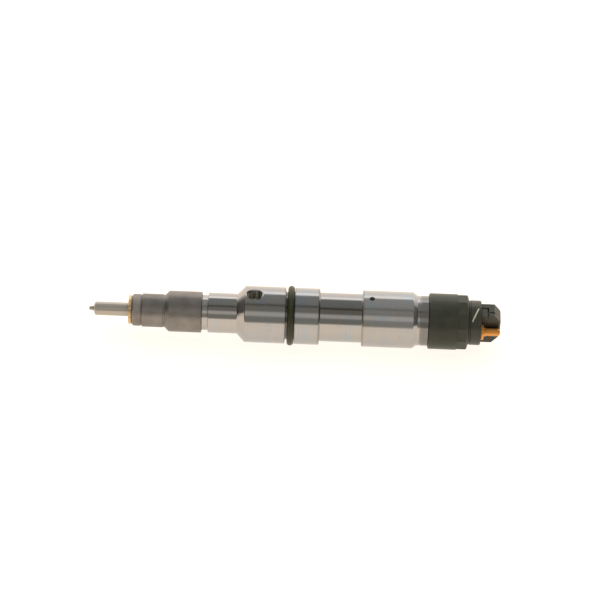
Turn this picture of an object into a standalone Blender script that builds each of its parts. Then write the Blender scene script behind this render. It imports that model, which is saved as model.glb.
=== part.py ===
"""Diesel common rail injector, one object for each piece of the assembly.

The injector lies along +X. X = 0 is the face of the sealing washer that seats in the
cylinder head, the nozzle points to -X and the electrical connector to +X. The fuel inlet
port opens to +Z. Stations and radii below are in millimetres, and Blender gets metres.
"""

import math

import bmesh
import bpy
from mathutils import Vector

MM = 0.001

# ---------------------------------------------------------------- driving dimensions, mm

NOZZLE_TIP = -20.3
SHANK_RADIUS = 3.5
COLLAR_RADIUS = 7.15
NOZZLE_TOP = 24.0

WASHER_THICKNESS = 1.8
WASHER_RADIUS = 7.4

NUT_NOSE_RADIUS = 8.2
NUT_LOWER_RADIUS = 8.55
NUT_UPPER_RADIUS = 10.5
NUT_END = 37.6

STUD_RADIUS = 8.8
NECK_RADIUS = 9.1
BODY_LOWER_RADIUS = 10.3
BODY_RADIUS = 14.5
CLAMP_RADIUS = 12.55
BODY_END_RADIUS = 12.85
SEAL_GROOVE_RADIUS = 12.25

PORT_STATION = 64.4
PORT_RADIUS = 3.75
DUCT_HEIGHT = 5.4
DUCT_RADIUS = 0.75
LEAK_STATION = 124.4
LEAK_RADIUS = 1.35

PISTON_RADIUS = 2.15
SPRING_CHAMBER_RADIUS = 4.0
ARMATURE_CHAMBER_RADIUS = 10.9

SOLENOID_NUT_START = 153.7
SOLENOID_NUT_RADIUS = 14.3
FLATS_START = 168.2
SOLENOID_NUT_END = 173.8

CAP_RADIUS = 11.45
CAP_END = 180.5
TOWER_END = 190.5
TOWER_HALF_WIDTH = 4.3
TOWER_HALF_HEIGHT = 9.55
PIN_OFFSET = 6.4
PIN_RADIUS = 1.95
LEAD_OFFSET = 6.2

# ---------------------------------------------------------------- scene and helpers

for old in list(bpy.data.objects):
    bpy.data.objects.remove(old, do_unlink=True)

scene = bpy.context.scene
scene.unit_settings.system = "METRIC"
scene.unit_settings.scale_length = 1.0

parts = bpy.data.collections.new("fuel_injector")
cutters = bpy.data.collections.new("cutters")
scene.collection.children.link(parts)
scene.collection.children.link(cutters)

AXIS_TO_X = (0.0, math.radians(90), 0.0)
root = bpy.data.objects.new("injector_axis", None)
parts.objects.link(root)


def material(name, colour, metallic, roughness):
    made = bpy.data.materials.new(name)
    made.use_nodes = True
    shader = made.node_tree.nodes["Principled BSDF"]
    shader.inputs["Base Color"].default_value = (*colour, 1.0)
    shader.inputs["Metallic"].default_value = metallic
    shader.inputs["Roughness"].default_value = roughness
    return made


turned_steel = material("turned_steel", (0.55, 0.56, 0.60), 1.0, 0.22)
hardened_steel = material("hardened_steel", (0.45, 0.44, 0.43), 1.0, 0.28)
phosphated_steel = material("phosphated_steel", (0.20, 0.18, 0.165), 0.9, 0.48)
black_steel = material("black_steel", (0.045, 0.045, 0.04), 0.7, 0.42)
spring_steel = material("spring_steel", (0.32, 0.31, 0.30), 1.0, 0.35)
soft_iron = material("soft_iron", (0.23, 0.23, 0.24), 0.9, 0.5)
copper = material("copper", (0.78, 0.46, 0.20), 1.0, 0.32)
contact_metal = material("contact_metal", (0.86, 0.50, 0.16), 1.0, 0.28)
winding_copper = material("winding_copper", (0.62, 0.26, 0.10), 0.9, 0.4)
black_plastic = material("black_plastic", (0.025, 0.026, 0.026), 0.0, 0.4)
pale_plastic = material("pale_plastic", (0.55, 0.52, 0.45), 0.0, 0.5)
black_rubber = material("black_rubber", (0.03, 0.032, 0.028), 0.0, 0.55)


def add(name, mesh, surface, home=parts):
    made = bpy.data.objects.new(name, mesh)
    home.objects.link(made)
    if surface:
        made.data.materials.append(surface)
    made.parent = root
    return made


def revolve(name, outline, closed, surface, steps, home, phase=0.0):
    """Turn an outline of (station, radius) about X. It runs down the outer side first."""
    profile = bmesh.new()
    across = (math.cos(phase) * MM, math.sin(phase) * MM)
    points = [profile.verts.new((r * across[0], r * across[1], s * MM)) for s, r in outline]
    for first, second in zip(points, points[1:]):
        profile.edges.new((first, second))
    if closed:
        profile.edges.new((points[-1], points[0]))
    mesh = bpy.data.meshes.new(name)
    profile.to_mesh(mesh)
    profile.free()
    made = add(name, mesh, surface, home)
    made.rotation_euler = AXIS_TO_X
    screw = made.modifiers.new("turn", "SCREW")
    screw.axis = "Z"
    screw.steps = steps
    screw.render_steps = steps
    screw.use_merge_vertices = True
    screw.merge_threshold = 0.000001
    screw.use_smooth_shade = True
    return made


def turned(name, outer, bore, surface, steps=36, home=parts):
    """A turned piece. outer and bore list (station, radius) from low to high X.

    A bore whose first or last radius is 0 is blind at that end.
    """
    down = list(reversed(outer))
    low_axis = (outer[0][0], 0.0)
    high_axis = (outer[-1][0], 0.0)
    if not bore:
        outline = [high_axis] + down + [low_axis]
    elif bore[0][1] == 0.0:
        outline = bore + down + [low_axis]
    elif bore[-1][1] == 0.0:
        outline = [high_axis] + down + bore
    else:
        return revolve(name, bore + down, True, surface, steps, home)
    return revolve(name, outline, False, surface, steps, home)


def hidden(made):
    made.hide_render = True
    made.display_type = "WIRE"
    return made


def ring_cutter(name, outer, bore, steps):
    return hidden(turned(name, outer, bore, None, steps, cutters))


def drill(name, start, end, radius, end_radius=None, sides=16):
    """A round cutter between two points, cylindrical or tapered."""
    start = Vector(start) * MM
    end = Vector(end) * MM
    along = end - start
    shape = bmesh.new()
    bmesh.ops.create_cone(
        shape,
        cap_ends=True,
        segments=sides,
        radius1=radius * MM,
        radius2=(radius if end_radius is None else end_radius) * MM,
        depth=along.length,
    )
    mesh = bpy.data.meshes.new(name)
    shape.to_mesh(mesh)
    shape.free()
    made = add(name, mesh, None, cutters)
    made.location = (start + end) / 2
    made.rotation_euler = along.to_track_quat("Z", "Y").to_euler()
    return hidden(made)


def block(name, low, high, surface=None, home=cutters):
    """A box between two corners."""
    low = Vector(low) * MM
    high = Vector(high) * MM
    size = high - low
    shape = bmesh.new()
    bmesh.ops.create_cube(shape, size=1.0)
    bmesh.ops.scale(shape, vec=size, verts=shape.verts)
    mesh = bpy.data.meshes.new(name)
    shape.to_mesh(mesh)
    shape.free()
    made = add(name, mesh, surface, home)
    made.location = (low + high) / 2
    return hidden(made) if home is cutters else made


def cut(made, *tools, operation="DIFFERENCE"):
    for tool in tools:
        boolean = made.modifiers.new(tool.name, "BOOLEAN")
        boolean.operation = operation
        boolean.solver = "EXACT"
        boolean.object = tool
    return made


def coil_spring(name, start, end, mean_radius, wire, turns, surface):
    """A compression spring along X with closed end turns, as one wire."""
    per_turn = 9
    total = int(turns * per_turn)
    path = bpy.data.curves.new(name, "CURVE")
    path.dimensions = "3D"
    path.bevel_depth = wire / 2 * MM
    path.bevel_resolution = 2
    path.use_fill_caps = True
    line = path.splines.new("POLY")
    line.points.add(total)
    low = start + wire / 2
    high = end - wire / 2
    closed_rise = wire * 1.12
    free_turns = turns - 2
    for index, point in enumerate(line.points):
        turn = index / per_turn
        if turn <= 1:
            height = low + closed_rise * turn
        elif turn >= turns - 1:
            height = high - closed_rise * (turns - turn)
        else:
            share = (turn - 1) / free_turns
            height = low + closed_rise + share * (high - low - 2 * closed_rise)
        angle = 2 * math.pi * turn
        point.co = (
            mean_radius * math.cos(angle) * MM,
            mean_radius * math.sin(angle) * MM,
            height * MM,
            1.0,
        )
    made = add(name, path, surface)
    made.rotation_euler = AXIS_TO_X
    return made


def seal_ring(name, station, mean_radius, cord_radius, steps, sides, surface):
    """An O-ring, turned from a round section."""
    section = []
    for index in range(sides):
        angle = 2 * math.pi * index / sides
        along = cord_radius * math.cos(angle)
        outward = cord_radius * math.sin(angle)
        section.append((station + along, mean_radius + outward))
    return revolve(name, section, True, surface, steps, parts, math.pi / steps)


# ---------------------------------------------------------------- nozzle

nozzle_body = turned(
    "nozzle_body",
    [
        (NOZZLE_TIP, 0.6),
        (-19.9, 1.0),
        (-19.2, 1.15),
        (-18.0, 1.2),
        (-17.4, 2.9),
        (-16.9, SHANK_RADIUS),
        (6.8, SHANK_RADIUS),
        (7.1, COLLAR_RADIUS),
        (NOZZLE_TOP, COLLAR_RADIUS),
    ],
    [
        (-19.3, 0.0),
        (-19.1, 0.4),
        (-16.8, 0.5),
        (-14.6, 1.75),
        (-14.2, 1.9),
        (8.0, 1.9),
        (8.6, 3.1),
        (12.4, 3.1),
        (13.2, 2.0),
        (NOZZLE_TOP, 2.0),
    ],
    hardened_steel,
    24,
)
nozzle_feed = drill("nozzle_feed", (24.5, 0, DUCT_HEIGHT), (11.2, 0, 2.6), DUCT_RADIUS, sides=10)
cut(nozzle_body, nozzle_feed)
for index in range(6):
    around = math.radians(60 * index + 30)
    reach = 2.4
    hole = drill(
        f"spray_hole_{index + 1}",
        (-18.3, 0, 0),
        (-18.3 - 0.35 * reach, reach * math.cos(around), reach * math.sin(around)),
        0.11,
        sides=6,
    )
    cut(nozzle_body, hole)

nozzle_needle = turned(
    "nozzle_needle",
    [
        (-17.2, 0.12),
        (-16.8, 0.38),
        (-14.6, 1.6),
        (8.8, 1.6),
        (9.6, 1.94),
        (23.0, 1.94),
        (23.3, 1.3),
        (24.5, 1.3),
    ],
    None,
    hardened_steel,
    24,
)

sealing_washer = turned(
    "sealing_washer",
    [
        (0.0, 7.1),
        (0.3, WASHER_RADIUS),
        (1.5, WASHER_RADIUS),
        (WASHER_THICKNESS, 7.1),
    ],
    [(0.0, 3.8), (WASHER_THICKNESS, 3.8)],
    copper,
)

nozzle_retaining_nut = turned(
    "nozzle_retaining_nut",
    [
        (1.85, 7.4),
        (2.6, NUT_NOSE_RADIUS),
        (6.2, NUT_NOSE_RADIUS),
        (6.4, 7.85),
        (6.8, 7.85),
        (7.1, NUT_LOWER_RADIUS),
        (17.8, NUT_LOWER_RADIUS),
        (18.0, 8.3),
        (18.6, 8.3),
        (20.8, NUT_UPPER_RADIUS),
        (37.3, NUT_UPPER_RADIUS),
        (NUT_END, 10.2),
    ],
    [
        (1.85, 3.9),
        (6.6, 3.9),
        (7.0, 7.35),
        (21.6, 7.35),
        (22.4, 8.95),
        (NUT_END, 8.95),
    ],
    phosphated_steel,
)

# ---------------------------------------------------------------- needle spring and control rod

for name, side in (("locating_dowel_left", -1), ("locating_dowel_right", 1)):
    shape = [(20.6, 0.8), (20.8, 0.95), (27.2, 0.95), (27.4, 0.8)]
    dowel = turned(name, shape, None, hardened_steel, 16)
    dowel.location = (0.0, 5.3 * side * MM, -2.0 * MM)

thrust_pin = turned(
    "thrust_pin",
    [(24.65, 3.0), (24.9, 3.3), (27.2, 3.3), (27.5, 1.75), (49.6, 1.75), (49.9, 1.5)],
    None,
    hardened_steel,
    24,
)

nozzle_spring = coil_spring("nozzle_spring", 27.6, 52.5, 2.95, 1.6, 7, spring_steel)

spring_shim = turned(
    "spring_shim",
    [(52.65, 3.85), (53.85, 3.85)],
    [(52.65, 2.5), (53.85, 2.5)],
    hardened_steel,
    24,
)

valve_piston = turned(
    "valve_piston",
    [
        (50.0, 1.5),
        (50.3, PISTON_RADIUS - 0.3),
        (96.0, PISTON_RADIUS - 0.3),
        (96.6, PISTON_RADIUS),
        (114.4, PISTON_RADIUS),
        (114.9, 1.4),
    ],
    None,
    hardened_steel,
    24,
)

# ---------------------------------------------------------------- body

injector_body = turned(
    "injector_body",
    [
        (24.1, STUD_RADIUS - 0.4),
        (24.5, STUD_RADIUS),
        (37.7, STUD_RADIUS),
        (37.7, NECK_RADIUS),
        (40.7, NECK_RADIUS),
        (40.9, BODY_LOWER_RADIUS),
        (55.6, BODY_LOWER_RADIUS),
        (59.7, BODY_RADIUS),
        (80.4, BODY_RADIUS),
        (80.6, SEAL_GROOVE_RADIUS),
        (85.0, SEAL_GROOVE_RADIUS),
        (85.1, BODY_RADIUS),
        (97.9, BODY_RADIUS),
        (97.9, CLAMP_RADIUS),
        (119.5, CLAMP_RADIUS),
        (119.7, BODY_RADIUS),
        (145.6, BODY_RADIUS),
        (147.9, BODY_END_RADIUS),
        (153.5, BODY_END_RADIUS),
        (153.6, 12.35),
        (160.0, 12.35),
    ],
    [
        (24.1, SPRING_CHAMBER_RADIUS),
        (54.0, SPRING_CHAMBER_RADIUS),
        (54.0, 2.3),
        (103.0, 2.3),
        (103.0, 4.15),
        (108.0, 4.15),
        (108.0, 5.8),
        (118.0, 5.8),
        (118.0, 8.2),
        (126.4, 8.2),
        (126.4, 8.75),
        (134.0, 8.75),
        (134.5, ARMATURE_CHAMBER_RADIUS),
        (160.0, ARMATURE_CHAMBER_RADIUS),
    ],
    turned_steel,
)
cut(
    injector_body,
    drill("inlet_port", (PORT_STATION, 0, 7.9), (PORT_STATION, 0, 15.5), PORT_RADIUS, sides=24),
    drill(
        "inlet_countersink",
        (PORT_STATION, 0, 13.7),
        (PORT_STATION, 0, 15.0),
        PORT_RADIUS,
        4.95,
        sides=24,
    ),
    drill("inlet_seat", (PORT_STATION, 0, 5.2), (PORT_STATION, 0, 8.0), 0.9, 3.4, sides=24),
    drill("pressure_duct", (23.5, 0, DUCT_HEIGHT), (110.5, 0, DUCT_HEIGHT), DUCT_RADIUS, sides=10),
    drill("leak_port", (LEAK_STATION, 0, 11.0), (LEAK_STATION, 0, 15.5), LEAK_RADIUS, sides=16),
    drill("leak_duct", (123.6, 0, 11.8), (136.5, 0, 10.2), 0.8, sides=10),
    drill("dowel_hole_left", (23.5, -5.3, -2.0), (27.6, -5.3, -2.0), 1.05, sides=16),
    drill("dowel_hole_right", (23.5, 5.3, -2.0), (27.6, 5.3, -2.0), 1.05, sides=16),
)
cut(
    nozzle_body,
    drill("dowel_seat_left", (20.4, -5.3, -2.0), (24.5, -5.3, -2.0), 1.05, sides=16),
    drill("dowel_seat_right", (20.4, 5.3, -2.0), (24.5, 5.3, -2.0), 1.05, sides=16),
)

body_o_ring = seal_ring("body_o_ring", 83.35, 13.85, 1.55, 36, 12, black_rubber)

# ---------------------------------------------------------------- control valve

valve_piece = turned(
    "valve_piece",
    [
        (103.4, 3.8),
        (103.6, 4.0),
        (118.1, 4.0),
        (118.1, 8.0),
        (122.0, 8.0),
        (122.0, 3.4),
        (122.6, 3.0),
    ],
    [
        (103.4, 2.25),
        (115.6, 2.25),
        (116.4, 0.3),
        (122.0, 0.3),
        (122.6, 0.75),
    ],
    hardened_steel,
    24,
)
cut(
    valve_piece,
    drill("inlet_throttle", (112.0, 0, 2.0), (112.0, 0, 5.0), 0.25, sides=8),
)

valve_piece_seal_ring = turned(
    "valve_piece_seal_ring",
    [(108.1, 5.7), (109.4, 5.7)],
    [(108.1, 4.12), (109.4, 4.12)],
    pale_plastic,
    24,
)

lift_shim = turned(
    "lift_shim",
    [(122.1, 8.0), (123.3, 8.0)],
    [(122.1, 6.4), (123.3, 6.4)],
    hardened_steel,
    24,
)

armature_guide = turned(
    "armature_guide",
    [
        (123.4, 8.0),
        (126.4, 8.0),
        (126.5, 3.3),
        (137.2, 3.3),
        (137.5, 3.0),
    ],
    [
        (123.4, 5.6),
        (124.6, 5.0),
        (125.0, 1.55),
        (137.5, 1.55),
    ],
    hardened_steel,
    24,
)
for index in range(3):
    around = math.radians(120 * index + 90)
    slot = drill(
        f"guide_drain_{index + 1}",
        (122.5, 5.4 * math.cos(around), 5.4 * math.sin(around)),
        (128.0, 5.4 * math.cos(around), 5.4 * math.sin(around)),
        0.9,
        sides=10,
    )
    cut(armature_guide, slot)

valve_clamping_nut = turned(
    "valve_clamping_nut",
    [(126.5, 8.6), (132.6, 8.6), (133.0, 8.2)],
    [(126.5, 4.9), (133.0, 4.9)],
    hardened_steel,
    24,
)
hexagon = turned("wrench_socket", [(130.0, 6.2), (134.0, 6.2)], None, None, 6, cutters)
wrench_socket = hidden(hexagon)
cut(valve_clamping_nut, wrench_socket)

valve_ball_mesh = bpy.data.meshes.new("valve_ball")
ball = bmesh.new()
bmesh.ops.create_icosphere(ball, subdivisions=2, radius=0.675 * MM)
ball.to_mesh(valve_ball_mesh)
ball.free()
valve_ball = add("valve_ball", valve_ball_mesh, hardened_steel)
valve_ball.location = (122.78 * MM, 0.0, 0.0)

ball_retainer = turned(
    "ball_retainer",
    [(122.9, 1.2), (124.2, 1.4), (124.5, 1.3)],
    [(122.9, 0.8), (123.5, 0.45), (123.6, 0.0)],
    hardened_steel,
    16,
)

armature_pin = turned(
    "armature_pin",
    [
        (124.6, 1.2),
        (124.9, 1.45),
        (142.75, 1.45),
        (142.75, 1.05),
        (143.35, 1.05),
        (143.35, 1.45),
        (144.2, 1.45),
        (144.2, 1.9),
        (145.2, 1.9),
        (145.2, 1.1),
        (147.6, 1.0),
    ],
    None,
    hardened_steel,
    16,
)

lock_washer = turned(
    "lock_washer",
    [(142.8, 2.5), (143.3, 2.5)],
    [(142.8, 1.15), (143.3, 1.15)],
    spring_steel,
    24,
)
lock_washer_mouth = block("lock_washer_mouth", (142.0, -1.2, -4.0), (144.0, 1.2, 0.0))
cut(lock_washer, lock_washer_mouth)

overtravel_spring = coil_spring("overtravel_spring", 126.5, 139.6, 4.1, 0.6, 4, spring_steel)

armature_plate = turned(
    "armature_plate",
    [
        (138.5, 2.9),
        (139.7, 3.1),
        (139.7, 5.4),
        (140.4, 7.4),
        (142.7, 7.6),
    ],
    [(138.5, 1.55), (142.7, 1.55)],
    soft_iron,
    24,
)
for index in range(3):
    around = math.radians(120 * index + 30)
    cut(
        armature_plate,
        drill(
            f"armature_vent_{index + 1}",
            (138.0, 5.2 * math.cos(around), 5.2 * math.sin(around)),
            (144.0, 5.2 * math.cos(around), 5.2 * math.sin(around)),
            0.9,
            sides=10,
        ),
    )

valve_spring = coil_spring("valve_spring", 145.35, 156.15, 1.75, 0.7, 5, spring_steel)

valve_spring_shim = turned(
    "valve_spring_shim",
    [(156.25, 2.5), (156.8, 2.5)],
    [(156.25, 0.8), (156.8, 0.8)],
    hardened_steel,
    24,
)

# ---------------------------------------------------------------- solenoid

magnet_core = revolve(
    "magnet_core",
    [
        (158.0, 0.0),
        (158.0, 9.0),
        (142.95, 9.0),
        (142.95, 7.2),
        (150.0, 7.2),
        (150.0, 4.5),
        (142.95, 4.5),
        (142.95, 2.8),
        (156.9, 2.8),
        (156.9, 0.0),
    ],
    False,
    soft_iron,
    24,
    parts,
)

coil_bobbin = revolve(
    "coil_bobbin",
    [
        (149.85, 7.05),
        (149.35, 7.05),
        (149.35, 5.1),
        (143.65, 5.1),
        (143.65, 7.05),
        (143.15, 7.05),
        (143.15, 4.65),
        (149.85, 4.65),
    ],
    True,
    pale_plastic,
    24,
    parts,
)

coil_winding = turned(
    "coil_winding",
    [(143.75, 6.9), (149.2, 6.9)],
    [(143.75, 5.2), (149.2, 5.2)],
    winding_copper,
    24,
)

magnet_sleeve = turned(
    "magnet_sleeve",
    [
        (146.0, 10.5),
        (146.3, 10.7),
        (154.5, 10.7),
        (154.5, 9.9),
        (156.7, 9.9),
        (156.7, 10.7),
        (160.1, 10.7),
        (160.1, 12.35),
        (169.3, 12.35),
    ],
    [(146.0, 9.15), (169.3, 9.15)],
    hardened_steel,
    24,
)

solenoid_o_ring = seal_ring("solenoid_o_ring", 155.6, 10.4, 0.42, 24, 6, black_rubber)

solenoid_nut = turned(
    "solenoid_nut",
    [
        (SOLENOID_NUT_START, 13.8),
        (154.2, SOLENOID_NUT_RADIUS),
        (172.9, SOLENOID_NUT_RADIUS),
        (SOLENOID_NUT_END, 13.2),
    ],
    [
        (SOLENOID_NUT_START, 12.55),
        (169.4, 12.55),
        (169.4, 11.6),
        (SOLENOID_NUT_END, 11.6),
    ],
    black_steel,
)
wrench_flats = ring_cutter(
    "wrench_flats",
    [(FLATS_START, 20.0), (176.0, 20.0)],
    [(FLATS_START, 14.35), (176.0, 14.35)],
    12,
)
cut(solenoid_nut, wrench_flats)

# ---------------------------------------------------------------- connector

connector_housing = turned(
    "connector_housing",
    [
        (158.1, 8.8),
        (158.3, 9.0),
        (169.4, 9.0),
        (169.4, CAP_RADIUS),
        (180.2, CAP_RADIUS),
        (CAP_END, 11.15),
    ],
    None,
    black_plastic,
)
tower = block(
    "tower",
    (CAP_END - 1.5, -TOWER_HALF_WIDTH, -TOWER_HALF_HEIGHT),
    (TOWER_END, TOWER_HALF_WIDTH, TOWER_HALF_HEIGHT),
)


def bevel_cutter(name, corners, low, high, along):
    """A triangular prism that takes one end edge off the tower."""
    shape = bmesh.new()
    if along == "Y":
        near = [shape.verts.new((x * MM, low * MM, z * MM)) for x, z in corners]
    else:
        near = [shape.verts.new((x * MM, y * MM, low * MM)) for x, y in corners]
    face = shape.faces.new(near)
    step = Vector((0, (high - low) * MM, 0)) if along == "Y" else Vector((0, 0, (high - low) * MM))
    grown = bmesh.ops.extrude_face_region(shape, geom=[face])
    moved = [item for item in grown["geom"] if isinstance(item, bmesh.types.BMVert)]
    bmesh.ops.translate(shape, vec=step, verts=moved)
    bmesh.ops.recalc_face_normals(shape, faces=shape.faces)
    mesh = bpy.data.meshes.new(name)
    shape.to_mesh(mesh)
    shape.free()
    return hidden(add(name, mesh, None, cutters))


OVER = 2.0
far = TOWER_END + OVER


def end_corners(edge, sign, back, inward):
    """The five corners that take one end edge off the tower, back mm along X and inward mm across."""
    return [
        (TOWER_END - back, sign * edge),
        (TOWER_END, sign * (edge - inward)),
        (far, sign * (edge - inward)),
        (far, sign * (edge + OVER)),
        (TOWER_END - back, sign * (edge + OVER)),
    ]


end_bevels = [
    bevel_cutter("tower_top_bevel", end_corners(TOWER_HALF_HEIGHT, 1, 3.3, 4.4), -6.0, 6.0, "Y"),
    bevel_cutter("tower_bottom_bevel", end_corners(TOWER_HALF_HEIGHT, -1, 4.1, 5.2), -6.0, 6.0, "Y"),
    bevel_cutter("tower_back_bevel", end_corners(TOWER_HALF_WIDTH, 1, 0.5, 0.5), -12.0, 12.0, "Z"),
    bevel_cutter("tower_front_bevel", end_corners(TOWER_HALF_WIDTH, -1, 0.7, 0.7), -12.0, 12.0, "Z"),
]
cut(tower, *end_bevels)
cut(tower, block("latch_recess", (178.0, -5.0, 9.05), (183.65, 1.6, 11.0)))
cut(tower, block("latch_slot", (183.6, -5.0, 7.9), (184.3, 1.6, 11.0)))
cut(tower, block("rail_groove", (184.8, -2.05, 8.2), (189.0, -1.45, 11.0)))
cut(connector_housing, tower, operation="UNION")
for side in (-1, 1):
    label = "left" if side < 0 else "right"
    pin_y = side * PIN_OFFSET
    lead_y = side * LEAD_OFFSET
    socket = drill(f"pin_socket_{label}", (175.7, pin_y, 0), (181.0, pin_y, 0), 2.05, sides=24)
    channel = drill(f"lead_channel_{label}", (157.5, lead_y, 0), (175.9, lead_y, 0), 0.6, sides=10)
    cut(connector_housing, socket, channel)
    cut(magnet_core, drill(f"core_channel_{label}", (149.5, lead_y, 0), (158.5, lead_y, 0), 0.7, sides=10))
    cut(coil_bobbin, drill(f"bobbin_hole_{label}", (149.0, lead_y, 0), (150.2, lead_y, 0), 0.6, sides=10))

# The flange of each pin has a flat that rests beside the tower and keeps the pin from turning.
FLANGE_FLAT = TOWER_HALF_WIDTH + 0.1
for name, side in (("contact_pin_left", -1), ("contact_pin_right", 1)):
    contact = turned(
        name,
        [
            (176.0, 1.6),
            (176.3, PIN_RADIUS),
            (180.55, PIN_RADIUS),
            (180.6, 4.0),
            (180.8, 4.1),
            (181.7, 4.1),
            (182.0, 3.7),
            (182.1, 2.25),
            (183.1, 2.25),
            (183.3, PIN_RADIUS),
            (189.4, PIN_RADIUS),
            (190.1, 1.5),
            (TOWER_END, 0.8),
        ],
        None,
        contact_metal,
        20,
    )
    inner, outer = sorted((side * 1.0, side * FLANGE_FLAT))
    cut(contact, block(f"{name}_flat", (180.53, inner, -5.0), (183.25, outer, 5.0)))
    contact.location = (0.0, side * PIN_OFFSET * MM, 0.0)

for name, side in (("terminal_lead_left", -1), ("terminal_lead_right", 1)):
    path = bpy.data.curves.new(name, "CURVE")
    path.dimensions = "3D"
    path.bevel_depth = 0.4 * MM
    path.bevel_resolution = 2
    path.use_fill_caps = True
    line = path.splines.new("POLY")
    line.points.add(1)
    line.points[0].co = (149.28 * MM, 0.0, 0.0, 1.0)
    line.points[1].co = (175.85 * MM, 0.0, 0.0, 1.0)
    lead = add(name, path, winding_copper)
    lead.location = (0.0, side * LEAD_OFFSET * MM, 0.0)
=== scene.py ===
"""Studio picture of a diesel fuel injector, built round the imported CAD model.

Stations and radii are in millimetres along the injector's axis, as in the CAD: X = 0 is the
washer's seat, the nozzle points to -X and the fuel inlet opens to +Z.
"""

import math

import bmesh
import bpy
from mathutils import Matrix, Vector


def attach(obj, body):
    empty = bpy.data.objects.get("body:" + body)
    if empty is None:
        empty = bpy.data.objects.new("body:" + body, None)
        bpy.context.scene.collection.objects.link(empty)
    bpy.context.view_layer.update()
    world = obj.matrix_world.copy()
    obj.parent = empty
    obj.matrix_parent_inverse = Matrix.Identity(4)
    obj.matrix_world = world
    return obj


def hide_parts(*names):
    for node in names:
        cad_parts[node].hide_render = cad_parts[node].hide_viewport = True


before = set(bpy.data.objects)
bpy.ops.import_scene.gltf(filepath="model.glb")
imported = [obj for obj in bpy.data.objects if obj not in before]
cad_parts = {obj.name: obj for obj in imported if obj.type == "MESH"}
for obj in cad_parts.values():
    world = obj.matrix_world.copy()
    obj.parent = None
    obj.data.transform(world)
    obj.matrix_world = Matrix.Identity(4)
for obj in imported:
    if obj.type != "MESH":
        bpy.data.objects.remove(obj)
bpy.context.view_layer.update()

MM = 0.001
MICRON = 0.001 * MM
TINY = 1e-6
# In degrees: edges that turn by more than this look sharp.
SHARP_ANGLE = 35.0
NEVER_SHARP = 180.0
# The most of an edge that the rounding of a corner may take.
CORNER_SHARE = 0.45
FLAT_FACE_WEIGHT = 80

scene = bpy.context.scene
scene.view_settings.view_transform = "Standard"
scene.view_settings.look = "None"
scene.view_settings.exposure = 0.0
scene.view_settings.gamma = 1.0

# ------------------------------------------------------------------ mesh helpers


def rounded(outline, radius, closed):
    """The outline with each corner turned into a small arc of five points.

    A point's third value, where it has one, is its own radius.
    """
    count = len(outline)
    made = []
    for index, corner in enumerate(outline):
        size = corner[2] if len(corner) > 2 else radius
        here = Vector(corner[:2])
        is_end = not closed and index in (0, count - 1)
        if is_end or here.y <= 0.0 or size <= 0.0:
            made.append(here)
            continue
        before = Vector(outline[index - 1][:2]) - here
        after = Vector(outline[(index + 1) % count][:2]) - here
        if min(before.length, after.length) < TINY:
            made.append(here)
            continue
        reach = min(size, before.length * CORNER_SHARE, after.length * CORNER_SHARE)
        start = here + before.normalized() * reach
        end = here + after.normalized() * reach
        for share in (0.0, 0.25, 0.5, 0.75, 1.0):
            made.append(start.lerp(here, share).lerp(here.lerp(end, share), share))
    return made


def smooth(mesh, angle=SHARP_ANGLE):
    """Smooth shading, except over edges that turn by more than the angle."""
    mesh.shade_smooth()
    mesh.set_sharp_from_angle(angle=math.radians(angle))


def finish_mesh(shape, name, angle=SHARP_ANGLE):
    """Make an object of the scene from a bmesh."""
    mesh = bpy.data.meshes.new(name)
    shape.to_mesh(mesh)
    shape.free()
    smooth(mesh, angle)
    made = bpy.data.objects.new(name, mesh)
    scene.collection.objects.link(made)
    return made


def circle(shape, station, radius, steps, centre=(0.0, 0.0)):
    """A ring of points round the X axis, or round a line parallel to it."""
    points = []
    for step in range(steps):
        angle = 2 * math.pi * step / steps
        y = centre[0] + radius * math.cos(angle)
        z = centre[1] + radius * math.sin(angle)
        points.append(shape.verts.new((station * MM, y * MM, z * MM)))
    return points


def bridge(shape, first, second, steps):
    """Faces between two rings. A ring of one point closes the shape on its axis."""
    if len(first) == 1 and len(second) == 1:
        return
    for step in range(steps):
        after = (step + 1) % steps
        if len(first) == 1:
            corners = (first[0], second[step], second[after])
        elif len(second) == 1:
            corners = (first[step], second[0], first[after])
        else:
            corners = (first[step], second[step], second[after], first[after])
        shape.faces.new(corners)


def lathe(name, outer, bore=None, radius=0.18, steps=192, centre=(0.0, 0.0)):
    """A turned piece along X. outer and bore run from low to high X, as (station, radius).

    A bore whose first radius is 0 is blind at the low end. radius rounds the corners.
    """
    down = list(reversed(outer))
    low_axis = (outer[0][0], 0.0)
    high_axis = (outer[-1][0], 0.0)
    closed = bool(bore) and bore[0][1] > 0.0
    if closed:
        outline = bore + down
    elif bore:
        outline = bore + down + [low_axis]
    else:
        outline = [high_axis] + down + [low_axis]
    shape = bmesh.new()
    rings = []
    for point in rounded(outline, radius, closed):
        if point.y <= TINY:
            rings.append([shape.verts.new((point.x * MM, centre[0] * MM, centre[1] * MM))])
        else:
            rings.append(circle(shape, point.x, point.y, steps, centre))
    for first, second in zip(rings, rings[1:]):
        bridge(shape, first, second, steps)
    if closed:
        bridge(shape, rings[-1], rings[0], steps)
    bmesh.ops.recalc_face_normals(shape, faces=shape.faces)
    return finish_mesh(shape, name)


def o_ring(name, station, mean_radius, half_width, half_height, steps=192, sides=32):
    """A ring of oval section round the X axis."""
    shape = bmesh.new()
    rings = []
    for side in range(sides):
        turn = 2 * math.pi * side / sides
        along = station - half_width * math.cos(turn)
        out = mean_radius + half_height * math.sin(turn)
        rings.append(circle(shape, along, out, steps))
    for first, second in zip(rings, rings[1:] + rings[:1]):
        bridge(shape, first, second, steps)
    bmesh.ops.recalc_face_normals(shape, faces=shape.faces)
    return finish_mesh(shape, name, NEVER_SHARP)


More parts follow.
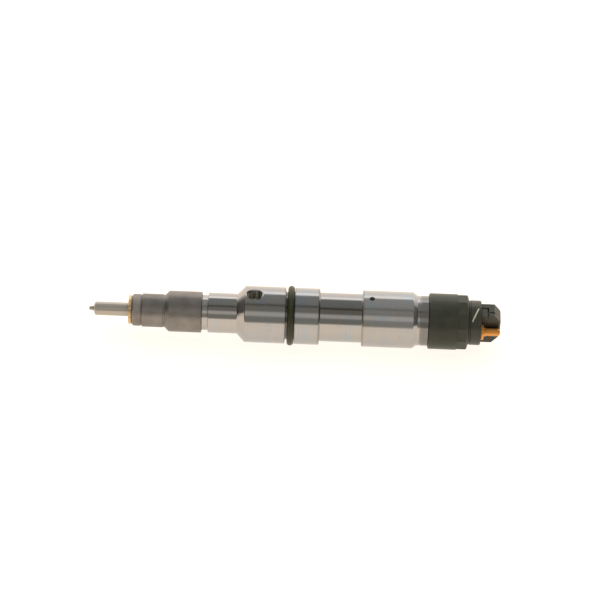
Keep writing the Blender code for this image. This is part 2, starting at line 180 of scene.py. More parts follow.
def rod(name, start, end, radius, end_radius=None, sides=48):
    """A round bar or a cone between two points, for cutting."""
    start = Vector(start) * MM
    end = Vector(end) * MM
    along = end - start
    shape = bmesh.new()
    bmesh.ops.create_cone(
        shape,
        cap_ends=True,
        segments=sides,
        radius1=radius * MM,
        radius2=(radius if end_radius is None else end_radius) * MM,
        depth=along.length,
    )
    turn = along.to_track_quat("Z", "Y").to_matrix().to_4x4()
    shape.transform(Matrix.Translation((start + end) / 2) @ turn)
    return finish_mesh(shape, name)


def box(name, low, high):
    """A block between two corners."""
    low = Vector(low) * MM
    high = Vector(high) * MM
    shape = bmesh.new()
    bmesh.ops.create_cube(shape, size=1.0)
    shape.transform(Matrix.Translation((low + high) / 2) @ Matrix.Diagonal((*(high - low), 1.0)))
    return finish_mesh(shape, name)


def bake(piece):
    """Apply a piece's modifiers."""
    graph = bpy.context.evaluated_depsgraph_get()
    mesh = bpy.data.meshes.new_from_object(piece.evaluated_get(graph))
    piece.modifiers.clear()
    piece.data = mesh
    smooth(mesh)
    return piece


def combine(piece, tools, operation="DIFFERENCE"):
    """Cut the tools from the piece, or join them to it, and remove them."""
    for tool in tools:
        step = piece.modifiers.new("shape", "BOOLEAN")
        step.operation = operation
        step.solver = "EXACT"
        step.object = tool
    bake(piece)
    for tool in tools:
        bpy.data.objects.remove(tool, do_unlink=True)


def place(piece, surface, body, slot, *nodes):
    """Give a piece its material, its body and the CAD nodes that it stands for. The slot is not used.

    The weighted normals keep flat faces flat beside their rounded edges.
    """
    piece.data.materials.clear()
    piece.data.materials.append(surface.material)
    weighted = piece.modifiers.new("weighted", "WEIGHTED_NORMAL")
    weighted.keep_sharp = True
    weighted.weight = FLAT_FACE_WEIGHT
    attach(piece, body)
    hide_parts(*nodes)


def refinish(piece, surface, wanted):
    """Give another material to the faces whose centre, in millimetres, is wanted."""
    piece.data.materials.append(surface.material)
    slot = len(piece.data.materials) - 1
    for face in piece.data.polygons:
        if wanted(face.center / MM):
            face.material_index = slot


# ------------------------------------------------------------------ material helpers

# Stations over which a finish may change, and half the length of a change.
ZONE_START = -30.0
ZONE_LENGTH = 230.0
ZONE_BLEND = 0.15


class Nodes:
    """A node tree under construction, with short ways to add its nodes."""

    def __init__(self, tree):
        self.tree = tree

    def node(self, kind, **values):
        made = self.tree.nodes.new(kind)
        for name, value in values.items():
            setattr(made, name, value)
        return made

    def link(self, output, socket):
        self.tree.links.new(output, socket)

    def math(self, operation, *terms):
        """Arithmetic on numbers and other nodes' outputs."""
        made = self.node("ShaderNodeMath", operation=operation)
        for socket, term in zip(made.inputs, terms):
            if isinstance(term, (int, float)):
                socket.default_value = term
            else:
                self.link(term, socket)
        return made.outputs[0]

    def remap(self, value, low, high, to_low=0.0, to_high=1.0):
        """Take the range low to high to another range, held at its ends."""
        made = self.node("ShaderNodeMapRange")
        self.link(value, made.inputs["Value"])
        made.inputs["From Min"].default_value = low
        made.inputs["From Max"].default_value = high
        made.inputs["To Min"].default_value = to_low
        made.inputs["To Max"].default_value = to_high
        return made.outputs["Result"]

    def ramp(self, share, stops):
        """A colour that follows a share from 0 to 1: stops lists (position, colour)."""
        made = self.node("ShaderNodeValToRGB")
        elements = made.color_ramp.elements
        while len(elements) < len(stops):
            elements.new(1.0)
        for element, (position, colour) in zip(elements, stops):
            element.position = position
            element.color = (*colour, 1.0)
        self.link(share, made.inputs["Fac"])
        return made.outputs["Color"]


class Surface(Nodes):
    """A material under construction round its Principled shader."""

    def __init__(self, name, colour, metallic, roughness):
        self.material = bpy.data.materials.new(name)
        self.material.use_nodes = True
        super().__init__(self.material.node_tree)
        self.shader = self.tree.nodes["Principled BSDF"]
        self.set("Base Color", (*colour, 1.0))
        self.set("Metallic", metallic)
        self.set("Roughness", roughness)
        self.place = self.node("ShaderNodeTexCoord").outputs["Object"]

    def set(self, socket, value):
        """Set one of the shader's own sockets."""
        self.shader.inputs[socket].default_value = value

    def feed(self, output, socket):
        """Link an output to one of the shader's sockets."""
        self.link(output, self.shader.inputs[socket])

    def noise(self, scale=1.0, stretch=(1.0, 1.0, 1.0), detail=3.0, rough=0.5):
        """Noise over the object's own coordinates, finer along an axis with a larger stretch."""
        mapping = self.node("ShaderNodeMapping")
        mapping.inputs["Scale"].default_value = stretch
        self.link(self.place, mapping.inputs["Vector"])
        made = self.node("ShaderNodeTexNoise")
        made.inputs["Scale"].default_value = scale
        made.inputs["Detail"].default_value = detail
        made.inputs["Roughness"].default_value = rough
        self.link(mapping.outputs["Vector"], made.inputs["Vector"])
        return made.outputs["Fac"]

    def blend(self, factor, first, second, kind="MIX"):
        """Mix two colours, each a tuple or an output."""
        made = self.node("ShaderNodeMix", data_type="RGBA", blend_type=kind)
        if isinstance(factor, float):
            made.inputs["Factor"].default_value = factor
        else:
            self.link(factor, made.inputs["Factor"])
        for socket, value in ((6, first), (7, second)):
            if isinstance(value, tuple):
                made.inputs[socket].default_value = (*value, 1.0)
            else:
                self.link(value, made.inputs[socket])
        return made.outputs[2]

    def station(self):
        """Distance along the injector, in metres from the washer's seat."""
        split = self.node("ShaderNodeSeparateXYZ")
        self.link(self.place, split.inputs[0])
        return split.outputs["X"]

    def zones(self, first, limits):
        """A grey that changes at stations along the injector: limits lists (station, value)."""
        changes = [(ZONE_START, first)]
        before = first
        for station, value in limits:
            changes.append((station - ZONE_BLEND, before))
            changes.append((station + ZONE_BLEND, value))
            before = value
        stops = []
        for station, value in changes:
            stops.append(((station - ZONE_START) / ZONE_LENGTH, (value, value, value)))
        share = self.remap(self.station(), ZONE_START * MM, (ZONE_START + ZONE_LENGTH) * MM)
        return self.ramp(share, stops)

    def bump(self, height, depth):
        """Add relief, its depth in microns, on top of any already there."""
        made = self.node("ShaderNodeBump")
        made.inputs["Strength"].default_value = 1.0
        made.inputs["Distance"].default_value = depth * MICRON
        self.link(height, made.inputs["Height"])
        normal = self.shader.inputs["Normal"]
        if normal.is_linked:
            self.link(normal.links[0].from_socket, made.inputs["Normal"])
        self.link(made.outputs["Normal"], normal)


def scaled(colour, *factors):
    """The colour times one factor, or one for each channel."""
    if len(factors) == 1:
        factors = factors * 3
    return tuple(channel * factor for channel, factor in zip(colour, factors))


def machined(name, colour, roughness, lines=1.0, stain=1.0, metallic=1.0, tone=None, metal=None):
    """Turned metal: rings from the tool, bands of finish, handling marks and cool film.

    lines and stain are the strengths of the rings and of the marks. tone and metal list
    (first value, limits) along the injector for the colour and the metallic share.
    """
    made = Surface(name, colour, metallic, roughness)
    fine = made.noise(stretch=(9000.0, 30.0, 30.0), detail=4.0, rough=0.6)
    broad = made.noise(stretch=(900.0, 12.0, 12.0), detail=2.0)
    marks = made.noise(140.0, detail=5.0, rough=0.62)
    cloud = made.noise(28.0)
    film = made.noise(95.0, (1.0, 0.8, 0.8), detail=4.0, rough=0.65)
    spots = made.remap(marks, 0.60, 0.72)
    patches = made.remap(film, 0.52, 0.64, 0.0, 0.8 * stain)
    dull = made.math("MULTIPLY_ADD", broad, 0.10 * lines, roughness - 0.05 * lines)
    dull = made.math("MULTIPLY_ADD", spots, 0.10 * stain, dull)
    dull = made.math("MULTIPLY_ADD", patches, 0.05, dull)
    made.feed(dull, "Roughness")
    warmer = scaled(colour, 1.03, 0.985, 0.93)
    cooler = scaled(colour, 0.87, 0.99, 1.11)
    tint = made.blend(made.remap(cloud, 0.35, 0.65), colour, warmer)
    tint = made.blend(patches, tint, cooler)
    tint = made.blend(made.math("MULTIPLY", spots, 0.6), tint, scaled(colour, 1.0 - 0.18 * stain))
    tint = made.blend(made.remap(broad, 0.42, 0.58, 0.0, 0.35 * lines), tint, scaled(colour, 0.93))
    if tone:
        tint = made.blend(1.0, tint, made.zones(*tone), "MULTIPLY")
    made.feed(tint, "Base Color")
    if metal:
        made.feed(made.zones(*metal), "Metallic")
    made.bump(fine, 3.5 * lines)
    made.bump(broad, 6.0 * lines)
    return made


def coated(name, colour, metallic, roughness, grain=5000.0, relief=10.0, variation=0.25, rings=0.0):
    """A finish with a fine grain: phosphate, black oxide, moulded plastic or rubber.

    relief is the grain's depth in microns, and rings that of fine rings 1 mm apart.
    """
    made = Surface(name, colour, metallic, roughness)
    grains = made.noise(grain)
    cloud = made.noise(90.0, detail=4.0, rough=0.6)
    low = scaled(colour, 1.0 - variation)
    high = scaled(colour, 1.0 + variation)
    made.feed(made.blend(made.remap(cloud, 0.3, 0.7), low, high), "Base Color")
    made.feed(made.math("MULTIPLY_ADD", cloud, 0.16, roughness - 0.08), "Roughness")
    made.bump(grains, relief)
    if rings:
        turns = made.math("MULTIPLY", made.station(), 2 * math.pi / MM)
        made.bump(made.math("SINE", turns), rings)
    return made


def bore_with_painted_light(name, paler, shade_colour):
    """Bored steel painted dark brown as the shade inside the hole, with pale upright streaks painted
    as highlights on the wall.
    """
    made = Surface(name, paler, 0.35, 0.34)
    streaks = made.noise(stretch=(520.0, 520.0, 20.0))
    made.feed(made.blend(made.remap(streaks, 0.38, 0.62), shade_colour, paler), "Base Color")
    made.feed(made.remap(streaks, 0.42, 0.58, 0.22, 0.42), "Roughness")
    made.bump(streaks, 20.0)
    return made


def patchy_copper(name, paler, dull):
    """A pressed copper washer: bright copper with brown patches round it."""
    made = Surface(name, paler, 0.70, 0.36)
    patches = made.noise(stretch=(60.0, 330.0, 330.0), detail=4.0, rough=0.62)
    fine = made.noise(stretch=(2500.0, 500.0, 500.0), rough=0.6)
    share = made.remap(patches, 0.55, 0.62)
    tint = made.blend(made.remap(fine, 0.35, 0.65), paler, scaled(paler, 0.82))
    made.feed(made.blend(share, tint, dull), "Base Color")
    made.feed(made.remap(share, 0.0, 1.0, 0.32, 0.5), "Roughness")
    made.bump(patches, 50.0)
    made.bump(fine, 10.0)
    return made


# The body's tone scales its colour, and its metal is its metallic share, by station. The seal groove
# is painted dark as the shade beside and under the O-ring, the chamfers beside the waist are darker,
# and the last stretch before the black nut is darker.
BODY_TONE_AND_SHADE = (
    1.05,
    [
        (55.6, 1.0),
        # Painted shade: the seal groove under the O-ring is darkened to 0.18 of the steel's colour.
        (80.5, 0.18),
        (85.0, 1.0),
        (97.3, 0.62),
        (97.95, 1.0),
        (119.5, 0.62),
        (120.1, 1.0),
        (149.6, 0.52),
    ],
)
BODY_METAL = (
    0.87,
    [
        (40.8, 0.97),
        (57.0, 0.94),
        (98.0, 1.0),
        (119.7, 0.83),
        (147.6, 0.93),
        (149.6, 0.76),
    ],
)

bright = machined("bright_turned_steel", (0.405, 0.398, 0.39), 0.13, tone=BODY_TONE_AND_SHADE, metal=BODY_METAL)
ground = machined("ground_nozzle_steel", (0.42, 0.385, 0.335), 0.30, lines=0.5, metallic=0.74)
phosphate = coated("phosphated_nut", (0.215, 0.196, 0.176), 0.82, 0.38, relief=20.0)
nose_steel = coated("worn_nut_nose", (0.21, 0.187, 0.168), 0.52, 0.40)
nose_steel.set("Specular IOR Level", 0.3)
oxide = coated("black_oxide_nut", (0.030, 0.031, 0.022), 0.25, 0.40, relief=20.0)
oxide.set("Specular Tint", (0.98, 1.0, 0.86, 1.0))
plastic = coated("moulded_black_plastic", (0.024, 0.024, 0.018), 0.0, 0.36, grain=3000.0, rings=30.0)
plastic.set("Specular Tint", (1.0, 1.0, 0.88, 1.0))
rubber = coated("o_ring_rubber", (0.017, 0.018, 0.008), 0.0, 0.42, grain=4000.0)
rubber.set("Specular Tint", (0.97, 0.98, 0.70, 1.0))
# Painted shade and painted highlights for the inlet's bored wall.
port_painted_light = bore_with_painted_light("port_painted_shade_and_highlights", (0.60, 0.60, 0.53), (0.085, 0.066, 0.03))
washer_copper = patchy_copper("washer_copper", (0.70, 0.495, 0.26), (0.36, 0.25, 0.15))
pin_copper = machined("pin_copper", (0.66, 0.285, 0.06), 0.32, lines=0.12, stain=0.3, metallic=0.7)
wire_steel = machined("spring_wire", (0.34, 0.33, 0.32), 0.34, lines=0.3)
iron = coated("sintered_iron", (0.22, 0.22, 0.23), 0.85, 0.5, grain=7000.0, relief=30.0)
enamel = machined("winding_enamel", (0.55, 0.20, 0.07), 0.35, lines=1.5)
nylon = coated("bobbin_nylon", (0.52, 0.49, 0.42), 0.0, 0.5, grain=3000.0)
paint = coated("pale_paint", (0.31, 0.30, 0.22), 0.0, 0.6, grain=3000.0, variation=0.10)

# ------------------------------------------------------------------ nozzle end

# The fuel duct and the two dowels run across the joint from the nozzle into the body.
DUCT_HEIGHT = 5.4
DUCT_RADIUS = 0.75
DOWEL_OFFSET = 5.3
DOWEL_HEIGHT = -2.0
DOWEL_RADIUS = 1.05

SHANK_RADIUS = 3.5
COLLAR_RADIUS = 7.15
# The spray holes leave the sac at this station and fall back by the slope.
SPRAY_STATION = -18.3
SPRAY_HOLES = 6
SPRAY_RADIUS = 0.11
SPRAY_REACH = 2.4
SPRAY_SLOPE = 0.35


def dowel_tool(side, low, high):
    """The hole for the dowel on one side, between two stations."""
    across = DOWEL_OFFSET * side
    return rod("dowel_tool", (low, across, DOWEL_HEIGHT), (high, across, DOWEL_HEIGHT), DOWEL_RADIUS)


tip = lathe(
    "nozzle",
    [
        (-20.3, 0.6),
        (-19.9, 1.0),
        (-19.2, 1.15),
        (-18.0, 1.2),
        (-17.4, 2.9),
        (-16.9, SHANK_RADIUS),
        (6.8, SHANK_RADIUS),
        (7.1, COLLAR_RADIUS),
        (24.0, COLLAR_RADIUS),
    ],
    [
        (-19.3, 0.0),
        (-19.1, 0.4),
        (-16.8, 0.5),
        (-14.6, 1.75),
        (-14.2, 1.9),
        (8.0, 1.9),
        (8.6, 3.1),
        (12.4, 3.1),
        (13.2, 2.0),
        (24.0, 2.0),
    ],
    radius=0.3,
    steps=96,
)
tools = [
    rod("feed_tool", (24.5, 0, DUCT_HEIGHT), (11.2, 0, 2.6), DUCT_RADIUS),
    dowel_tool(-1, 20.4, 24.5),
    dowel_tool(1, 20.4, 24.5),
]
for index in range(SPRAY_HOLES):
    around = math.radians(360 / SPRAY_HOLES * index + 30)
    outlet = (
        SPRAY_STATION - SPRAY_SLOPE * SPRAY_REACH,
        SPRAY_REACH * math.cos(around),
        SPRAY_REACH * math.sin(around),
    )
    tools.append(rod("spray_tool", (SPRAY_STATION, 0, 0), outlet, SPRAY_RADIUS, sides=12))
combine(tip, tools)
place(tip, ground, "housing", "hardened_steel", "nozzle_body")

WASHER_THICKNESS = 1.8
washer = lathe(
    "seat_washer",
    [(0.0, 6.9), (0.35, 7.4), (0.8, 7.3), (1.0, 7.3), (1.45, 7.4), (WASHER_THICKNESS, 6.9)],
    [(0.0, 3.8), (WASHER_THICKNESS, 3.8)],
    radius=0.2,
)
place(washer, washer_copper, "housing", "copper", "sealing_washer")

# The nut's nose is worn bright between these stations.
NOSE_START = 2.3
NOSE_END = 6.35
NOSE_RADIUS = 8.2
NUT_LOWER_RADIUS = 8.55
NUT_UPPER_RADIUS = 10.5
NUT_END = 37.6
nut = lathe(
    "retaining_nut",
    [
        (1.85, 7.4, 0.1),
        (2.6, NOSE_RADIUS),
        (6.2, NOSE_RADIUS),
        (6.4, 7.85),
        (6.8, 7.85),
        (7.1, NUT_LOWER_RADIUS),
        (17.8, NUT_LOWER_RADIUS),
        (18.0, 8.3),
        (18.6, 8.3),
        (20.8, NUT_UPPER_RADIUS, 0.5),
        (37.3, NUT_UPPER_RADIUS),
        (NUT_END, 10.2),
    ],
    [
        (1.85, 3.9),
        (6.6, 3.9),
        (7.0, 7.35),
        (21.6, 7.35),
        (22.4, 8.95),
        (NUT_END, 8.95),
    ],
)
place(nut, phosphate, "housing", "phosphated_steel", "nozzle_retaining_nut")
refinish(nut, nose_steel, lambda centre: NOSE_START < centre.x < NOSE_END)

# ------------------------------------------------------------------ body

BODY_START = 24.1
BODY_END = 160.0
STUD_RADIUS = 8.8
NECK_RADIUS = 9.1
LOWER_RADIUS = 10.3
BODY_RADIUS = 14.5
GROOVE_RADIUS = 12.25
CLAMP_RADIUS = 12.55
BODY_END_RADIUS = 12.85
LINE_RADIUS = 12.65
SPRING_CHAMBER_RADIUS = 4.0
ARMATURE_CHAMBER_RADIUS = 10.9

# The inlet port on top: a rounded mouth, a bored wall and a sealing cone, by height.
PORT_STATION = 64.4
PORT_RADIUS = 3.5
PORT_ROUNDING = 1.5
PORT_TOP = 14.55
CONE_TOP = 8.0
CONE_BOTTOM = 5.2
CONE_TOP_RADIUS = 3.4
CONE_BOTTOM_RADIUS = 0.9
MOUTH_STEPS = 9
WALL_LOW = CONE_TOP - 0.05
WALL_HIGH = PORT_TOP - PORT_ROUNDING + 0.3
LEAK_STATION = 124.4


def port_tool():
    """The inlet's cutter: a bar that flares out in a quarter circle at the mouth."""
    outline = [(CONE_TOP - 0.1, PORT_RADIUS)]
    for step in range(MOUTH_STEPS):
        turn = math.radians(10 * step)
        height = PORT_TOP - PORT_ROUNDING * (1.0 - math.sin(turn))
        outline.append((height, PORT_RADIUS + PORT_ROUNDING * (1.0 - math.cos(turn))))
    outline.append((PORT_TOP + 1.05, outline[-1][1] + 0.4))
    made = lathe("port_tool", outline, radius=0.0, steps=96)
    upright = Matrix.Rotation(-math.pi / 2, 4, "Y")
    made.data.transform(Matrix.Translation((PORT_STATION * MM, 0.0, 0.0)) @ upright)
    return made


def in_port(centre, low, high):
    """Whether a point lies inside the inlet, between two heights."""
    off_axis = math.hypot(centre.x - PORT_STATION, centre.y)
    return off_axis < PORT_RADIUS + 0.05 and low < centre.z < high


body = lathe(
    "turned_body",
    [
        (BODY_START, 8.4),
        (24.5, STUD_RADIUS),
        (37.7, STUD_RADIUS),
        (37.7, NECK_RADIUS),
        (40.7, NECK_RADIUS),
        (40.9, LOWER_RADIUS),
        (55.6, LOWER_RADIUS, 0.4),
        (59.7, BODY_RADIUS, 0.4),
        (80.4, BODY_RADIUS),
        (80.6, GROOVE_RADIUS, 0.1),
        (85.0, GROOVE_RADIUS, 0.1),
        (85.1, BODY_RADIUS, 0.1),
        (97.3, BODY_RADIUS, 0.1),
        (97.9, 14.15, 0.1),
        (97.9, CLAMP_RADIUS, 0.3),
        (119.5, CLAMP_RADIUS, 0.3),
        (119.6, 14.2, 0.1),
        (120.2, BODY_RADIUS, 0.1),
        (145.6, BODY_RADIUS, 0.4),
        (147.9, BODY_END_RADIUS, 0.2),
        (149.0, BODY_END_RADIUS, 0.05),
        (149.2, LINE_RADIUS, 0.05),
        (149.6, LINE_RADIUS, 0.05),
        (149.8, BODY_END_RADIUS, 0.05),
        (153.5, BODY_END_RADIUS),
        (153.6, 12.35, 0.1),
        (BODY_END, 12.35),
    ],
    [
        (BODY_START, SPRING_CHAMBER_RADIUS),
        (54.0, SPRING_CHAMBER_RADIUS),
        (54.0, 2.3),
        (103.0, 2.3),
        (103.0, 4.15),
        (108.0, 4.15),
        (108.0, 5.8),
        (118.0, 5.8),
        (118.0, 8.2),
        (126.4, 8.2),
        (126.4, 8.75),
        (134.0, 8.75),
        (134.5, ARMATURE_CHAMBER_RADIUS),
        (BODY_END, ARMATURE_CHAMBER_RADIUS),
    ],
    steps=240,
)
cone_ends = [(PORT_STATION, 0, CONE_BOTTOM), (PORT_STATION, 0, CONE_TOP)]
combine(
    body,
    [
        port_tool(),
        rod("cone_tool", *cone_ends, CONE_BOTTOM_RADIUS, CONE_TOP_RADIUS, sides=96),
        rod("duct_tool", (23.5, 0, DUCT_HEIGHT), (110.5, 0, DUCT_HEIGHT), DUCT_RADIUS),
        rod("leak_tool", (LEAK_STATION, 0, 11.0), (LEAK_STATION, 0, 15.5), 1.35),
        rod("leak_duct_tool", (123.6, 0, 11.8), (136.5, 0, 10.2), 0.8),
        dowel_tool(-1, 23.5, 27.6),
        dowel_tool(1, 23.5, 27.6),
    ],
)
place(body, bright, "housing", "turned_steel", "injector_body")
# The inlet's bored wall takes the painted shade and the painted highlight streaks.
refinish(body, port_painted_light, lambda centre: in_port(centre, WALL_LOW, WALL_HIGH))
refinish(body, ground, lambda centre: in_port(centre, CONE_BOTTOM, WALL_LOW))

ring = o_ring("body_seal", station=83.15, mean_radius=13.8, half_width=1.7, half_height=1.52)
place(ring, rubber, "housing", "black_rubber", "body_o_ring")

# ------------------------------------------------------------------ solenoid nut

CAP_NUT_START = 153.7
CAP_NUT_END = 173.8
CAP_NUT_RADIUS = 14.3
CAP_NUT_LIP = 169.4
FLATS_START = 168.2
FLATS = 12

cap_nut = lathe(
    "wrench_nut",
    [
        (CAP_NUT_START, 13.8, 0.2),
        (154.2, CAP_NUT_RADIUS, 0.2),
        (172.9, CAP_NUT_RADIUS, 0.2),
        (CAP_NUT_END, 13.2, 0.3),
    ],
    [(CAP_NUT_START, 12.55), (CAP_NUT_LIP, 12.55), (CAP_NUT_LIP, 11.6), (CAP_NUT_END, 11.6)],
    steps=240,
)
flats = lathe(
    "flats_tool",
    [(FLATS_START, 20.0), (176.0, 20.0)],
    [(FLATS_START, 14.35), (176.0, 14.35)],
    radius=0.0,
    steps=FLATS,
)
combine(cap_nut, [flats])
place(cap_nut, oxide, "housing", "black_steel", "solenoid_nut")

# ------------------------------------------------------------------ connector

TOWER_END = 190.5
HALF_WIDTH = 4.3
HALF_HEIGHT = 9.55
PIN_OFFSET = 6.4
PIN_RADIUS = 1.95
FLANGE_START = 180.6
CHANNEL_OFFSET = 6.2
CHANNEL_RADIUS = 0.6
CAP_RADIUS = 11.45
CAP_LINE_RADIUS = 11.25
FLANGE_RADIUS = 4.1


def wedge(edge, side, back, inward, reach, along):
    """A prism that takes a slanting strip off one end edge of the tower.

    The edge lies at side times edge off the axis and runs along Y or Z, and the strip goes back
    along X and inward across the tower. The prism reaches that far to each side.
    """
    corners = [
        (TOWER_END - back, side * edge),
        (TOWER_END, side * (edge - inward)),
        (TOWER_END + 2.0, side * (edge - inward)),
        (TOWER_END + 2.0, side * (edge + 2.0)),
        (TOWER_END - back, side * (edge + 2.0)),
    ]
    shape = bmesh.new()
    if along == "Y":
        near = [shape.verts.new((x * MM, -reach * MM, z * MM)) for x, z in corners]
        step = Vector((0.0, 2 * reach * MM, 0.0))
    else:
        near = [shape.verts.new((x * MM, y * MM, -reach * MM)) for x, y in corners]
        step = Vector((0.0, 0.0, 2 * reach * MM))
    grown = bmesh.ops.extrude_face_region(shape, geom=[shape.faces.new(near)])
    moved = [item for item in grown["geom"] if isinstance(item, bmesh.types.BMVert)]
    bmesh.ops.translate(shape, vec=step, verts=moved)
    bmesh.ops.recalc_face_normals(shape, faces=shape.faces)
    return finish_mesh(shape, "wedge_tool")


tower = box("tower_tool", (177.0, -HALF_WIDTH, -HALF_HEIGHT), (TOWER_END, HALF_WIDTH, HALF_HEIGHT))
combine(
    tower,
    [
        wedge(HALF_HEIGHT, 1, 3.3, 4.4, 6.0, "Y"),
        wedge(HALF_HEIGHT, -1, 4.1, 5.2, 6.0, "Y"),
        wedge(HALF_WIDTH, 1, 0.5, 0.5, 12.0, "Z"),
        wedge(HALF_WIDTH, -1, 0.7, 0.7, 12.0, "Z"),
        box("recess_tool", (176.0, -5.0, 9.05), (183.65, 1.6, 11.0)),
        box("slot_tool", (183.6, -5.0, 7.9), (184.3, 1.6, 11.0)),
        box("groove_tool", (184.5, -2.05, 8.2), (189.0, -1.45, 11.0)),
    ],
)
soft_edges = tower.modifiers.new("edges", "BEVEL")
soft_edges.width = 0.2 * MM
soft_edges.segments = 3
soft_edges.limit_method = "ANGLE"
soft_edges.angle_limit = math.radians(30)
bake(tower)

housing = lathe(
    "connector",
    [
        (158.1, 8.8),
        (158.3, 9.0),
        (CAP_NUT_LIP, 9.0),
        (CAP_NUT_LIP, CAP_RADIUS),
        (174.3, CAP_RADIUS, 0.08),
        (174.5, CAP_LINE_RADIUS, 0.08),
        (175.0, CAP_LINE_RADIUS, 0.08),
        (175.2, CAP_RADIUS, 0.08),
        (180.1, CAP_RADIUS, 0.3),
        (180.5, 11.1, 0.3),
    ],
)
combine(housing, [tower], "UNION")
tools = []
for side in (-1, 1):
    pin_y = PIN_OFFSET * side
    channel_y = CHANNEL_OFFSET * side
    tools.append(rod("socket_tool", (175.7, pin_y, 0), (181.0, pin_y, 0), PIN_RADIUS + 0.1))
    channel = [(157.5, channel_y, 0), (175.9, channel_y, 0)]
    tools.append(rod("channel_tool", *channel, CHANNEL_RADIUS, sides=24))
combine(housing, tools)
place(housing, plastic, "housing", "black_plastic", "connector_housing")

for name, side in (("left", -1), ("right", 1)):
    pin = lathe(
        f"terminal_{name}",
        [
            (176.0, 1.6),
            (176.3, PIN_RADIUS),
            (180.55, PIN_RADIUS),
            (FLANGE_START, 4.0, 0.1),
            (180.8, FLANGE_RADIUS, 0.15),
            (181.7, FLANGE_RADIUS, 0.15),
            (182.0, 3.7, 0.2),
            (182.1, 2.25, 0.2),
            (183.1, 2.25, 0.2),
            (183.3, PIN_RADIUS, 0.15),
            (189.4, PIN_RADIUS, 0.5),
            (190.1, 1.5, 0.4),
            (TOWER_END, 0.8, 0.2),
        ],
        centre=(PIN_OFFSET * side, 0.0),
        steps=96,
    )
    # The flange is flat where it rests beside the tower.
    flat_low, flat_high = sorted((side * 1.0, side * (HALF_WIDTH + 0.1)))
    flat = box("flat_tool", (FLANGE_START - 0.07, flat_low, -5.0), (183.25, flat_high, 5.0))
    combine(pin, [flat])
    place(pin, pin_copper, "housing", "contact_metal", f"contact_pin_{name}")


def paint_stroke(name, station, height, length, width, slant, radius, across=5, along=16):
    """A pale stroke on a cylinder, a plain inspection mark that narrows at its ends.

    height is in degrees up from level at the front, and slant in degrees from the X axis.
    """
    slant = math.radians(slant)
    shape = bmesh.new()
    grid = []
    for row in range(along + 1):
        share = row / along - 0.5
        narrowing = 1.0 - abs(2 * share) ** 6 * 0.5
        line = []
        for column in range(across + 1):
            offset = (column / across - 0.5) * width * narrowing
            forward = share * length * math.cos(slant) - offset * math.sin(slant)
            upward = share * length * math.sin(slant) + offset * math.cos(slant)
            angle = math.radians(height) + upward / radius
            y = -radius * math.cos(angle)
            z = radius * math.sin(angle)
            line.append(shape.verts.new(((station + forward) * MM, y * MM, z * MM)))
        grid.append(line)
    for first, second in zip(grid, grid[1:]):
        for column in range(across):
            shape.faces.new((first[column], second[column], second[column + 1], first[column + 1]))
    bmesh.ops.recalc_face_normals(shape, faces=shape.faces)
    made = finish_mesh(shape, name)
    thick = made.modifiers.new("thick", "SOLIDIFY")
    thick.thickness = 0.03 * MM
    thick.offset = 0.0
    return bake(made)


stroke = paint_stroke(
    "inspection_mark",
    station=177.4,
    height=66.0,
    length=8.4,
    width=0.75,
    slant=67.0,
    radius=11.47,
)
stroke.data.materials.append(paint.material)
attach(stroke, "housing")

# ------------------------------------------------------------------ pieces inside

INSIDE = {
    ground: (
        "nozzle_needle",
        "locating_dowel_left",
        "locating_dowel_right",
        "thrust_pin",
        "spring_shim",
        "valve_piston",
        "valve_piece",
        "lift_shim",
        "armature_guide",
        "valve_clamping_nut",
        "valve_ball",
        "ball_retainer",
        "armature_pin",
        "valve_spring_shim",
        "magnet_sleeve",
    ),
    wire_steel: ("nozzle_spring", "overtravel_spring", "valve_spring", "lock_washer"),
    iron: ("magnet_core", "armature_plate"),
    enamel: ("coil_winding", "terminal_lead_left", "terminal_lead_right"),
    nylon: ("coil_bobbin", "valve_piece_seal_ring"),
    rubber: ("solenoid_o_ring",),
}
for surface, names in INSIDE.items():
    for name in names:
        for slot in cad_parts[name].material_slots:
            slot.material = surface.material

# ------------------------------------------------------------------ studio

FLOOR_HEIGHT = -15.42
FLOOR_HALF_SIZE = 3.0
floor_surface = Surface("lit_white_floor", (0.21, 0.17, 0.13), 0.0, 0.9)
floor_surface.set("Specular IOR Level", 0.1)
floor_surface.set("Emission Color", (1.0, 0.93, 0.845, 1.0))
floor_surface.set("Emission Strength", 1.0)
mottle = floor_surface.noise(3.0, detail=2.0)
mottled = floor_surface.blend(mottle, (0.21, 0.171, 0.131), (0.21, 0.169, 0.129))
floor_surface.feed(mottled, "Base Color")
shape = bmesh.new()
bmesh.ops.create_grid(shape, x_segments=2, y_segments=2, size=FLOOR_HALF_SIZE)
floor = finish_mesh(shape, "floor")
floor.location = (0.0, 0.0, FLOOR_HEIGHT * MM)
floor.data.materials.append(floor_surface.material)

# What the metal mirrors, by angle round the injector's axis: 0 is level and in front of it,
# 90 is overhead and 180 is level behind it.
SKY = [
    (-180, (1.30, 1.20, 1.12)),
    (0, (1.32, 1.19, 1.05)),
    (8, (1.32, 1.19, 1.05)),
    (14, (0.285, 0.28, 0.25)),
    (36, (0.29, 0.295, 0.275)),
    (41, (0.64, 0.64, 0.62)),
    (54, (0.64, 0.63, 0.60)),
    (60, (0.22, 0.212, 0.195)),
    (79, (0.22, 0.212, 0.185)),
    (82, (0.075, 0.075, 0.06)),
    (88, (0.075, 0.075, 0.06)),
    (91, (0.215, 0.22, 0.21)),
    (102, (0.25, 0.262, 0.258)),
    (136, (0.275, 0.29, 0.30)),
    (141, (1.72, 1.70, 1.69)),
    (151, (1.70, 1.66, 1.64)),
    (157, (1.26, 1.21, 1.18)),
    (180, (1.30, 1.22, 1.17)),
]
# The sky fades for directions near the injector's own, between these shares of X.
FADE_START = 0.62
FADE_END = 0.86
FADED_STRENGTH = 0.06

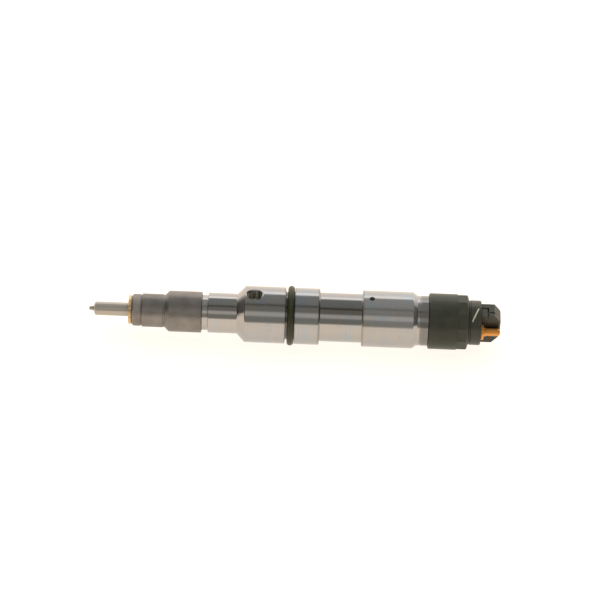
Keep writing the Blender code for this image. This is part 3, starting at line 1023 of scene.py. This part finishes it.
world = bpy.data.worlds.new("studio")
scene.world = world
world.use_nodes = True
sky = Nodes(world.node_tree)
background = sky.tree.nodes["Background"]
direction = sky.node("ShaderNodeSeparateXYZ")
sky.link(sky.node("ShaderNodeTexCoord").outputs["Generated"], direction.inputs[0])
forward = sky.math("MULTIPLY", direction.outputs["Y"], -1.0)
around = sky.math("ARCTAN2", direction.outputs["Z"], forward)
stops = [((degrees + 180) / 360, colour) for degrees, colour in SKY]
sky.link(sky.ramp(sky.remap(around, -math.pi, math.pi), stops), background.inputs["Color"])
sideways = sky.math("ABSOLUTE", direction.outputs["X"])
strength = sky.remap(sideways, FADE_START, FADE_END, 1.0, FADED_STRENGTH)
sky.link(strength, background.inputs["Strength"])

softbox_light = bpy.data.lights.new("overhead_softbox", "AREA")
softbox_light.shape = "RECTANGLE"
softbox_light.size = 1.6
softbox_light.size_y = 1.2
softbox_light.energy = 19.0
softbox = bpy.data.objects.new("overhead_softbox", softbox_light)
softbox.location = (0.09, 0.25, 0.95)
softbox_aim = Vector((0.09, 0.0, 0.0)) - softbox.location
softbox.rotation_euler = softbox_aim.to_track_quat("-Z", "Y").to_euler()
softbox.visible_glossy = False
scene.collection.objects.link(softbox)

# ------------------------------------------------------------------ camera

# Distances in metres. The aim is a point on the axis, and the rise is along the picture's height.
CAMERA_DISTANCE = 1.6
VIEW_WIDTH = 0.3077
SENSOR_WIDTH = 36.0
ELEVATION = math.radians(45.0)
ROLL = math.radians(2.2)
AIM = Vector((0.0879, 0.0, 0.0))
AIM_RISE = 0.0082

camera_data = bpy.data.cameras.new("camera")
camera_data.sensor_width = SENSOR_WIDTH
camera_data.lens = SENSOR_WIDTH * CAMERA_DISTANCE / VIEW_WIDTH
camera_data.clip_end = 20.0
camera = bpy.data.objects.new("camera", camera_data)
scene.collection.objects.link(camera)
outward = Vector((0.0, -math.cos(ELEVATION), math.sin(ELEVATION)))
level_up = Vector((0.0, math.sin(ELEVATION), math.cos(ELEVATION)))
level_right = Vector((1.0, 0.0, 0.0))
right = level_right * math.cos(ROLL) + level_up * math.sin(ROLL)
up = level_up * math.cos(ROLL) - level_right * math.sin(ROLL)
axes = Matrix((right, up, outward)).transposed().to_4x4()
stand = AIM + up * AIM_RISE + outward * CAMERA_DISTANCE
camera.matrix_world = Matrix.Translation(stand) @ axes
scene.camera = camera
